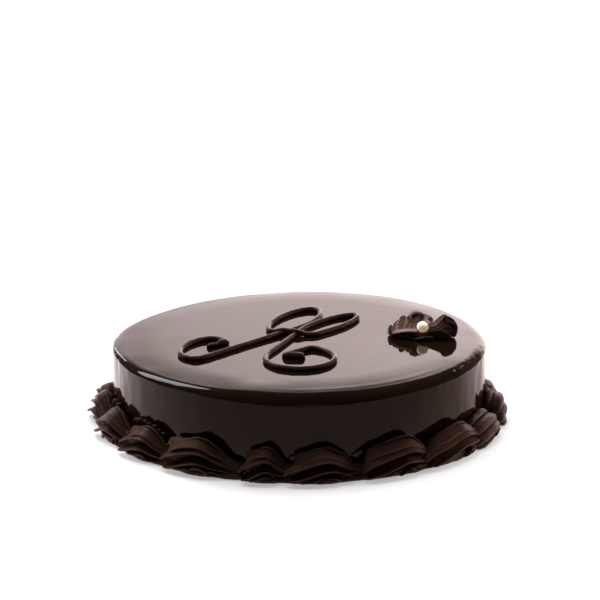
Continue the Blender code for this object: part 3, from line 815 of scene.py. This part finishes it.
def make_pearl(material):
    x, y = PEARL_PLACE
    work = bmesh.new()
    bmesh.ops.create_icosphere(work, subdivisions=5, radius=PEARL_DIAMETER / 2)
    for vert in work.verts:
        dent = uneven(vert.co, 0.012, 0.0035, 1.0) + uneven(vert.co, 0.004, 0.001, 0.0)
        vert.co *= 1.0 + dent
    bmesh.ops.translate(work, verts=work.verts, vec=(x, y, top_height(x) + PEARL_RISE))
    add_piece("cream_pearl", finished(work, "cream_pearl"), material, "sugar_pearl", "pearl")


# ------------------------------------------------------------------- materials

# The pale line on the lip of each band is a painted highlight
LIP_MIDDLE = 0.075  # how far round a band its bead lies, and how wide the pale line on it is
LIP_WIDTH = 0.055
LIP_HIGHLIGHT_COLOUR = (0.088, 0.054, 0.041, 1.0)
# Colour of the painted shade that darkens the rosette's sheets
PETAL_SHADE_COLOUR = (0.030, 0.016, 0.012, 1.0)
# Light colour, dark colour, scale of the patches and of the grain, lowest and highest roughness
GLAZE_LOOK = ((0.008, 0.0035, 0.0015), (0.005, 0.002, 0.001), 30.0, 190.0, 0.03, 0.07)
GANACHE_LOOK = ((0.036, 0.016, 0.010), (0.024, 0.010, 0.006), 90.0, 900.0, 0.30, 0.42)
ROSETTE_LOOK = ((0.40, 0.275, 0.235), (0.33, 0.220, 0.188), 90.0, 900.0, 0.38, 0.52)
STRAND_LOOK = ((0.034, 0.018, 0.012), (0.023, 0.012, 0.008), 120.0, 720.0, 0.16, 0.26)
PEARL_LOOK = ((0.97, 0.88, 0.70), (0.93, 0.82, 0.62), 260.0, 1560.0, 0.28, 0.42)
# The light that goes through the sugar, and a painted glow: a faint emission that brightens the
# pearl
PEARL_SUBSURFACE_AND_PAINTED_GLOW = {
    "Subsurface Weight": 0.4,
    "Subsurface Scale": 0.003,
    "Subsurface Radius": (1.0, 0.9, 0.7),
    "Emission Color": (1.0, 0.8, 0.55, 1.0),
    "Emission Strength": 0.28,
}


def feed(tree, value, socket):
    """Links another socket to the input, or sets the input to a plain value."""
    if isinstance(value, bpy.types.NodeSocket):
        tree.links.new(value, socket)
    else:
        socket.default_value = value


def feed_all(tree, node, values):
    for name, value in values.items():
        feed(tree, value, node.inputs[name])
    return node


def new_node(tree, kind, values):
    return feed_all(tree, tree.nodes.new("ShaderNode" + kind), values)


def calculate(tree, operation, *values):
    node = tree.nodes.new("ShaderNodeMath")
    node.operation = operation
    for socket, value in zip(node.inputs, values):
        feed(tree, value, socket)
    return node.outputs[0]


def mix(tree, share, first, second, kind="RGBA"):
    node = tree.nodes.new("ShaderNodeMix")
    node.data_type = kind
    return feed_all(tree, node, {"Factor": share, "A": first, "B": second}).outputs["Result"]


def map_range(tree, value, low, high, at_low, at_high, kind="LINEAR"):
    """A value that goes from at_low to at_high while the given one goes from low to high."""
    limits = {"From Min": low, "From Max": high, "To Min": at_low, "To Max": at_high}
    node = new_node(tree, "MapRange", {"Value": value, **limits})
    node.interpolation_type = kind
    return node.outputs["Result"]


def noise_texture(tree, place, scale, detail):
    values = {"Vector": place, "Scale": scale, "Detail": detail}
    return new_node(tree, "TexNoise", values).outputs["Fac"]


def stretched(tree, place, scale):
    return new_node(tree, "Mapping", {"Vector": place, "Scale": scale}).outputs["Vector"]


def new_group(name, inputs, outputs):
    """A node group and its two ends, from the name and the kind of each socket."""
    group = bpy.data.node_groups.new(name, "ShaderNodeTree")
    for direction, sockets in (("INPUT", inputs), ("OUTPUT", outputs)):
        for socket, kind in sockets.items():
            group.interface.new_socket(
                name=socket, in_out=direction, socket_type="NodeSocket" + kind
            )
    return group, group.nodes.new("NodeGroupInput").outputs, group.nodes.new("NodeGroupOutput")


def mottle_group():
    """Soft patches of two colours with their own gloss, and a fine grain for the bump."""
    group, given, result = new_group(
        "chocolate_mottle",
        {
            "Vector": "Vector", "Light Colour": "Color", "Dark Colour": "Color",
            "Patch Scale": "Float", "Grain Scale": "Float",
            "Low Roughness": "Float", "High Roughness": "Float",
        },
        {"Colour": "Color", "Roughness": "Float", "Height": "Float"},
    )
    patches = noise_texture(group, given["Vector"], given["Patch Scale"], 3.0)
    grain = noise_texture(group, given["Vector"], given["Grain Scale"], 4.0)
    spread = map_range(group, patches, 0.32, 0.68, 0.0, 1.0)
    colour = mix(group, spread, given["Light Colour"], given["Dark Colour"])
    gloss = map_range(group, grain, 0.0, 1.0, given["Low Roughness"], given["High Roughness"])
    feed_all(group, result, {"Colour": colour, "Roughness": gloss, "Height": grain})
    return group


def lip_highlight_group():
    """The painted highlight's place on a band's thin lip, from how far round the band its map says
    it lies.
    """
    group, given, result = new_group(
        "band_lip_highlight", {"Map": "Vector", "Middle": "Float", "Width": "Float"}, {"Lip": "Float"}
    )
    axes = new_node(group, "SeparateXYZ", {"Vector": given["Map"]}).outputs
    off = calculate(group, "SUBTRACT", axes["X"], given["Middle"])
    off = calculate(group, "ABSOLUTE", off)
    near = map_range(group, off, 0.0, given["Width"], 1.0, 0.0, "SMOOTHSTEP")
    feed_all(group, result, {"Lip": near})
    return group


def placed_group(tree, group, values):
    node = tree.nodes.new("ShaderNodeGroup")
    node.node_tree = group
    return feed_all(tree, node, values).outputs


def new_material(name):
    material = bpy.data.materials.new(name)
    material.use_nodes = True
    tree = material.node_tree
    return material, tree, tree.nodes["Principled BSDF"]


def mottled(name, group, look):
    """A material with the mottle in its colour and gloss."""
    material, tree, shader = new_material(name)
    light, dark, patch, grain, low, high = look
    place = tree.nodes.new("ShaderNodeTexCoord").outputs
    mottle = placed_group(tree, group, {
        "Vector": place["Object"], "Light Colour": (*light, 1.0), "Dark Colour": (*dark, 1.0),
        "Patch Scale": patch, "Grain Scale": grain, "Low Roughness": low, "High Roughness": high,
    })
    feed_all(tree, shader, {"Base Color": mottle["Colour"], "Roughness": mottle["Roughness"]})
    return material, tree, shader, place, mottle["Height"]


def add_bump(tree, shader, height, distance, strength, under=None):
    values = {"Height": height, "Distance": distance, "Strength": strength}
    if under:
        values["Normal"] = under
    normal = new_node(tree, "Bump", values).outputs["Normal"]
    tree.links.new(normal, shader.inputs["Normal"])
    return normal


def recolour(material, share, colour):
    """Turns the material's colour into another one by the given share."""
    tree = material.node_tree
    base = tree.nodes["Principled BSDF"].inputs["Base Color"]
    tree.links.new(mix(tree, share, base.links[0].from_socket, colour), base)


def glaze_finish(group):
    """Mirror glaze: very glossy, with soft upright streaks."""
    material, tree, shader, place, _ = mottled("mirror glaze", group, GLAZE_LOOK)
    streaks = noise_texture(tree, stretched(tree, place["Object"], (1.0, 1.0, 0.22)), 110.0, 2.0)
    add_bump(tree, shader, streaks, 0.0002, 0.25)
    shader.inputs["IOR"].default_value = 1.5
    return material


def ganache_finish(group, name, look):
    """Piped ganache: satin, with fine lines that the tip drew."""
    material, tree, shader, place, grain = mottled(name, group, look)
    under = add_bump(tree, shader, grain, 0.0002, 0.35)
    lines = noise_texture(tree, stretched(tree, place["UV"], (1.0, 0.05, 1.0)), 60.0, 3.0)
    add_bump(tree, shader, lines, 0.0006, 0.5, under)
    shader.inputs["Specular IOR Level"].default_value = 0.34
    return material


def paint_lip_highlights(material):
    """Paints a pale highlight on the thin lip of each band."""
    tree = material.node_tree
    place = tree.nodes.new("ShaderNodeTexCoord").outputs
    values = {"Map": place["UV"], "Middle": LIP_MIDDLE, "Width": LIP_WIDTH}
    recolour(material, placed_group(tree, lip_highlight_group(), values)["Lip"], LIP_HIGHLIGHT_COLOUR)


def paint_petal_shade(material):
    """Paints shade on the rosette's sheets, as much as the piece's own painted shade attribute
    says.
    """
    own = material.node_tree.nodes.new("ShaderNodeAttribute")
    own.attribute_name = "painted_shade"
    recolour(material, own.outputs["Fac"], PETAL_SHADE_COLOUR)


def smooth_finish(group, name, look):
    material, tree, shader, _, grain = mottled(name, group, look)
    add_bump(tree, shader, grain, 0.00015, 0.25)
    return material


# --------------------------------------------------------- floor, light and camera

FLOOR_LIFT = 0.40  # light that the floor gives to the camera near the cake, and far from it
FAR_LIFT = 1.1
FLOOR_DOUBLING = 9.72  # how fast the mirrored floor brightens to the back, per metre
BRIGHTEST_FLOOR, DARKEST_FLOOR = 1.5, 0.34
FLOOR_WARMTH = ((0.20, (1.0, 0.70, 0.55, 1.0)), (0.48, (1.0, 0.77, 0.74, 1.0)),
                (1.0, (1.0, 0.87, 0.86, 1.0)))
BACKDROP_COLOUR = (1.0, 0.835, 0.81, 1.0)
BACKDROP_STRENGTH, ROOM_STRENGTH, SEEN_STRENGTH = 1.85, 0.05, 1.05
WARM_LIGHT = (1.0, 0.97, 0.95)
# Panels of light: name, place, size, power and colour, and what is special about them
SOFTBOXES = (
    ("left softbox", (-0.774, 1.045, 1.298), (0.74, 0.78), 5.2, (0.90, 0.92, 1.0),
     {"along": (0.224, -0.66, 0.716), "shape": "ELLIPSE"}),
    ("left strip", (-0.727, 1.69, 0.65), (0.46, 0.03), 0.35, (1.0, 1.0, 1.0),
     {"along": (0, 0, 1)}),
    ("right spot", (0.846, 1.27, 0.986), (0.12, 0.12), 0.08, (0.9, 0.95, 1.0), {}),
    ("sky panel", (-0.35, 0.70, 2.00), (1.8, 1.2), 80.0, WARM_LIGHT, {"mirrored": False}),
    ("left panel", (-1.75, 1.30, 0.42), (0.7, 0.8), 98.0, WARM_LIGHT, {"mirrored": False}),
    ("right panel", (1.75, 1.00, 0.45), (1.4, 0.8), 100.0, WARM_LIGHT, {"mirrored": False}),
)
SENSOR_WIDTH = 36.0
FOCAL_SHARE = 1831.4 / 600  # the focal length as a share of the picture's width
CAMERA_PLACE = (0.0005, -1.135, 0.389)
CAMERA_TILT = 15.44  # degrees below the horizon


def floor_mirrored(tree, axes):
    """What the glaze mirrors of the floor: brighter to the back and warmer where it is dark."""
    deep = calculate(tree, "MULTIPLY", axes["Y"], FLOOR_DOUBLING)
    doubled = calculate(tree, "POWER", 2.0, deep)
    fall = map_range(tree, axes["X"], -0.2, 0.2, 1.05, 0.60)
    glow = calculate(tree, "ADD", calculate(tree, "MULTIPLY", doubled, fall), 0.09)
    capped = calculate(tree, "MINIMUM", glow, BRIGHTEST_FLOOR)
    strength = calculate(tree, "MAXIMUM", capped, DARKEST_FLOOR)
    warmth = tree.nodes.new("ShaderNodeValToRGB")
    low, middle, high = FLOOR_WARMTH
    stops = warmth.color_ramp.elements
    stops[0].position, stops[0].color = low
    stops[1].position, stops[1].color = high
    stops.new(middle[0]).color = middle[1]
    feed(tree, calculate(tree, "DIVIDE", strength, BRIGHTEST_FLOOR), warmth.inputs["Fac"])
    values = {"Color": warmth.outputs["Color"], "Strength": strength}
    return new_node(tree, "Emission", values).outputs[0]


def floor_seen(tree, place):
    """What the camera sees of the floor: white paper that keeps the cake's soft shadow."""
    away = tree.nodes.new("ShaderNodeVectorMath")
    away.operation = "LENGTH"
    tree.links.new(place["Object"], away.inputs[0])
    far = map_range(tree, away.outputs["Value"], 0.2, 1.0, FLOOR_LIFT, FAR_LIFT)
    lift = new_node(tree, "Emission", {"Strength": far})
    paint = new_node(tree, "BsdfDiffuse", {"Color": (0.40, 0.40, 0.41, 1.0)})
    both = tree.nodes.new("ShaderNodeAddShader")
    for socket, shader in zip(both.inputs, (lift, paint)):
        tree.links.new(shader.outputs[0], socket)
    return both.outputs[0]


def lay_floor():
    """A plain white floor: lit for the camera, and falling off to the front in reflections."""
    work = bmesh.new()
    bmesh.ops.create_grid(work, x_segments=1, y_segments=1, size=20.0)
    mesh = finished(work, "floor")
    floor = bpy.data.objects.new("floor", mesh)
    bpy.context.scene.collection.objects.link(floor)
    floor.location.z = -0.0002
    material, tree, shader = new_material("white table")
    tree.nodes.remove(shader)
    mesh.materials.append(material)
    place = tree.nodes.new("ShaderNodeTexCoord").outputs
    axes = new_node(tree, "SeparateXYZ", {"Vector": place["Object"]}).outputs
    path = tree.nodes.new("ShaderNodeLightPath").outputs
    choice = tree.nodes.new("ShaderNodeMixShader")
    sources = (path["Is Camera Ray"], floor_mirrored(tree, axes), floor_seen(tree, place))
    for socket, source in zip(choice.inputs, sources):
        tree.links.new(source, socket)
    tree.links.new(choice.outputs[0], tree.nodes["Material Output"].inputs["Surface"])


def light_room():
    """Soft light from a bright backdrop, with a dark ceiling and front."""
    world = bpy.data.worlds.new("studio")
    bpy.context.scene.world = world
    world.use_nodes = True
    tree = world.node_tree
    way = tree.nodes.new("ShaderNodeTexCoord").outputs["Generated"]
    axes = new_node(tree, "SeparateXYZ", {"Vector": way}).outputs
    aside = calculate(tree, "ABSOLUTE", axes["X"])
    arch = calculate(tree, "MULTIPLY_ADD", axes["Z"], 0.9, aside)
    backdrop = map_range(tree, axes["Z"], 0.31, 0.61, 1.0, 0.0)
    for share in (
        map_range(tree, axes["Y"], -0.35, 0.75, 0.06, 1.0, "SMOOTHSTEP"),
        map_range(tree, axes["X"], -0.12, -0.06, 0.85, 1.0),
        map_range(tree, axes["X"], -0.12, 0.12, 0.72, 1.25),
        map_range(tree, arch, 0.46, 0.74, 1.0, 0.03, "SMOOTHSTEP"),
        BACKDROP_STRENGTH,
    ):
        backdrop = calculate(tree, "MULTIPLY", backdrop, share)
    strength = calculate(tree, "ADD", backdrop, ROOM_STRENGTH)
    path = tree.nodes.new("ShaderNodeLightPath").outputs
    seen = mix(tree, path["Is Camera Ray"], strength, SEEN_STRENGTH, "FLOAT")
    feed_all(tree, tree.nodes["Background"], {"Color": BACKDROP_COLOUR, "Strength": seen})


def add_softbox(name, place, size, power, colour, mirrored=True, along=None, shape="RECTANGLE"):
    """A soft panel that faces the cake; along gives the way its length runs."""
    light = bpy.data.lights.new(name, "AREA")
    light.shape = shape
    light.size, light.size_y = size
    light.energy = power
    light.color = colour
    lamp = bpy.data.objects.new(name, light)
    bpy.context.scene.collection.objects.link(lamp)
    lamp.location = place
    lamp.visible_glossy = mirrored
    back = (Vector(place) - Vector((0, 0, 0.04))).normalized()
    lamp.rotation_euler = back.to_track_quat("Z", "Y").to_euler()
    if along:
        across = back.cross(Vector(along)).normalized()
        turned = Matrix((across.cross(back), across, back)).transposed()
        lamp.rotation_euler = turned.to_euler()


def set_camera():
    camera = bpy.data.cameras.new("camera")
    camera.sensor_width = SENSOR_WIDTH
    camera.lens = FOCAL_SHARE * SENSOR_WIDTH
    camera.clip_start = 0.05
    view = bpy.data.objects.new("camera", camera)
    bpy.context.scene.collection.objects.link(view)
    view.location = CAMERA_PLACE
    view.rotation_euler = (math.pi / 2 - math.radians(CAMERA_TILT), 0.0, 0.0)
    bpy.context.scene.camera = view


def main():
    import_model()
    mottle = mottle_group()
    ganache = ganache_finish(mottle, "piped ganache", GANACHE_LOOK)
    paint_lip_highlights(ganache)
    petals = ganache_finish(mottle, "rosette chocolate", ROSETTE_LOOK)
    paint_petal_shade(petals)
    cream = smooth_finish(mottle, "sugar pearl", PEARL_LOOK)
    feed_all(cream.node_tree, cream.node_tree.nodes["Principled BSDF"], PEARL_SUBSURFACE_AND_PAINTED_GLOW)
    make_drum(glaze_finish(mottle))
    make_shells(ganache)
    make_scroll(smooth_finish(mottle, "scroll chocolate", STRAND_LOOK))
    make_rosette(petals)
    make_pearl(cream)
    lay_floor()
    light_room()
    for *panel, special in SOFTBOXES:
        add_softbox(*panel, **special)
    set_camera()
    bpy.context.scene.view_settings.view_transform = "Standard"


main()
